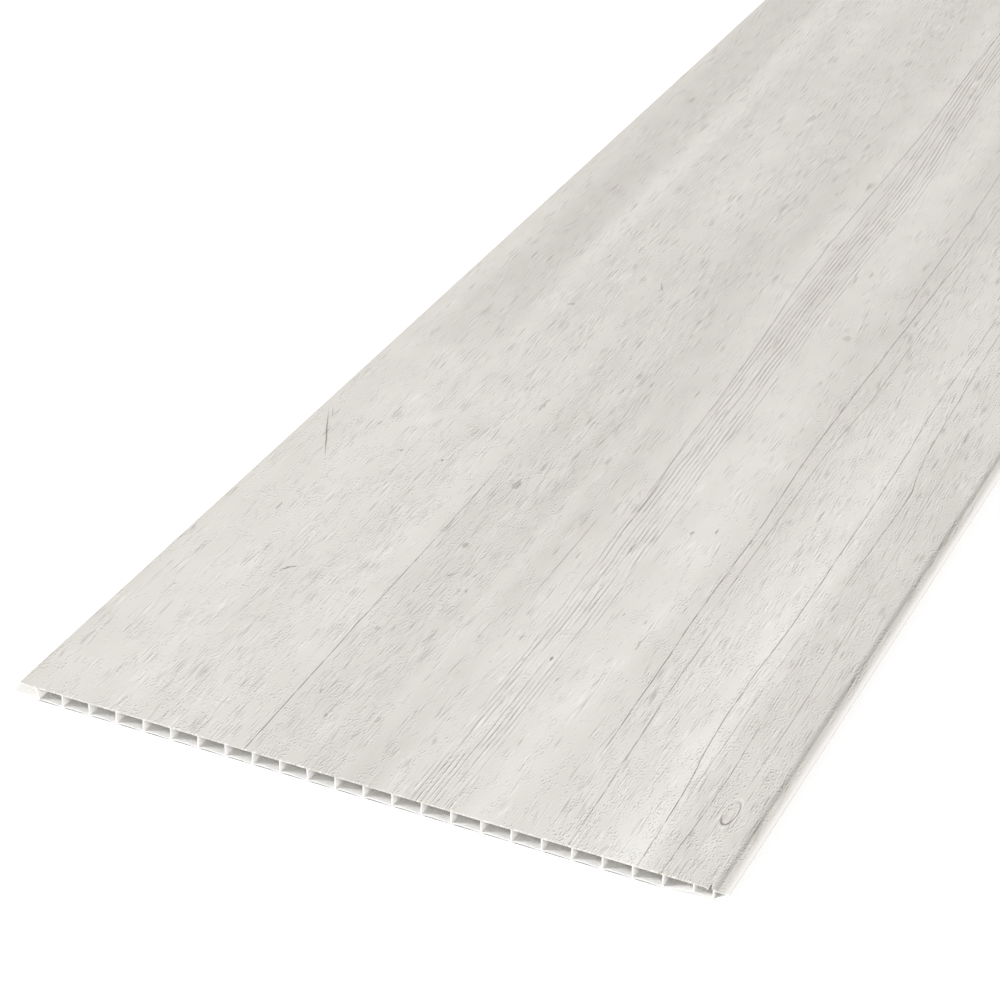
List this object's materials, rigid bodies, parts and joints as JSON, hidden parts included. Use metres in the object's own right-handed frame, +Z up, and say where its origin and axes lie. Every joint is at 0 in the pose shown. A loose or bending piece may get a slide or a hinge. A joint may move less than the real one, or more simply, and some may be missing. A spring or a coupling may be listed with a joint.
{
  "type": "pvc wall panel",
  "caption": "Long flat hollow-core PVC wall cladding panel with a pale wood-effect face, a groove along one long edge and a tongue along the other.",
  "frame": {"origin": "centre of the underside, in the plane that the panel lies on", "axes": "+Z up out of the decor face, +Y along the panel away from the end in the foreground, +X across the panel from the groove edge to the tongue edge"},
  "size_m": [0.386, 2.6, 0.008],
  "materials": {
    "pvc": "white rigid PVC extrusion, its face printed with a pale whitewashed wood grain under a satin matt coat"
  },
  "bodies": {
    "root": {"hollow_panel": "pvc"}
  },
  "joints": []
}
